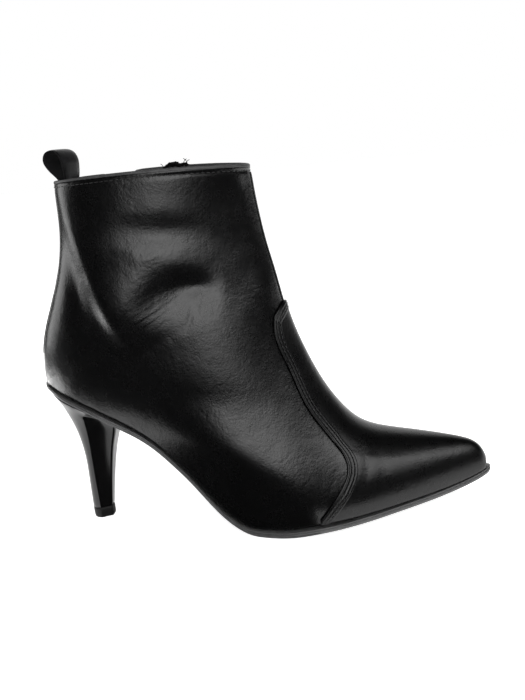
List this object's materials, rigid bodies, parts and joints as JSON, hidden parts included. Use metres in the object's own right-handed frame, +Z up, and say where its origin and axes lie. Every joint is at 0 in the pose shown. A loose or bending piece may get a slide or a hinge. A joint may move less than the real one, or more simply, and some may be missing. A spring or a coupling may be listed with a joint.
{
  "type": "ankle boot",
  "caption": "Right pointed-toe ankle boot in black leather with a slim high heel, a zip on the inner side and a pull loop at the back of the collar.",
  "frame": {"origin": "on the floor, under the middle of the boot's bounding box", "axes": "+X to the toe, +Y to the inner (medial) side, +Z up"},
  "size_m": [0.249, 0.0734, 0.2143],
  "materials": {
    "leather": "semi-gloss, lightly creased",
    "toe_leather": "semi-gloss, smooth",
    "loop_leather": "satin",
    "sole": "satin",
    "foot_bed": "matte",
    "heel": "gloss",
    "top_lift": "scuffed",
    "zip_tape": "woven, matte",
    "zip_teeth": "satin",
    "zip_metal": "black, gloss"
  },
  "bodies": {
    "boot": {"upper": "leather", "vamp": "toe_leather", "outsole": "sole", "insole": "foot_bed", "heel": "heel", "top_lift": "top_lift", "pull_loop": "loop_leather", "zip_tape": "zip_tape", "zip_teeth": "zip_teeth", "zip_slider": "zip_metal"},
    "pull_tab": {"zip_pull": "zip_metal"}
  },
  "joints": [
    {"name": "zip_pull_swing", "type": "hinge", "parent": "boot", "child": "pull_tab", "pos_m": [-0.06922, 0.02847, 0.18991], "axis": [0.9589, 0.1434, 0.2447], "range_deg": [0, 170]}
  ]
}
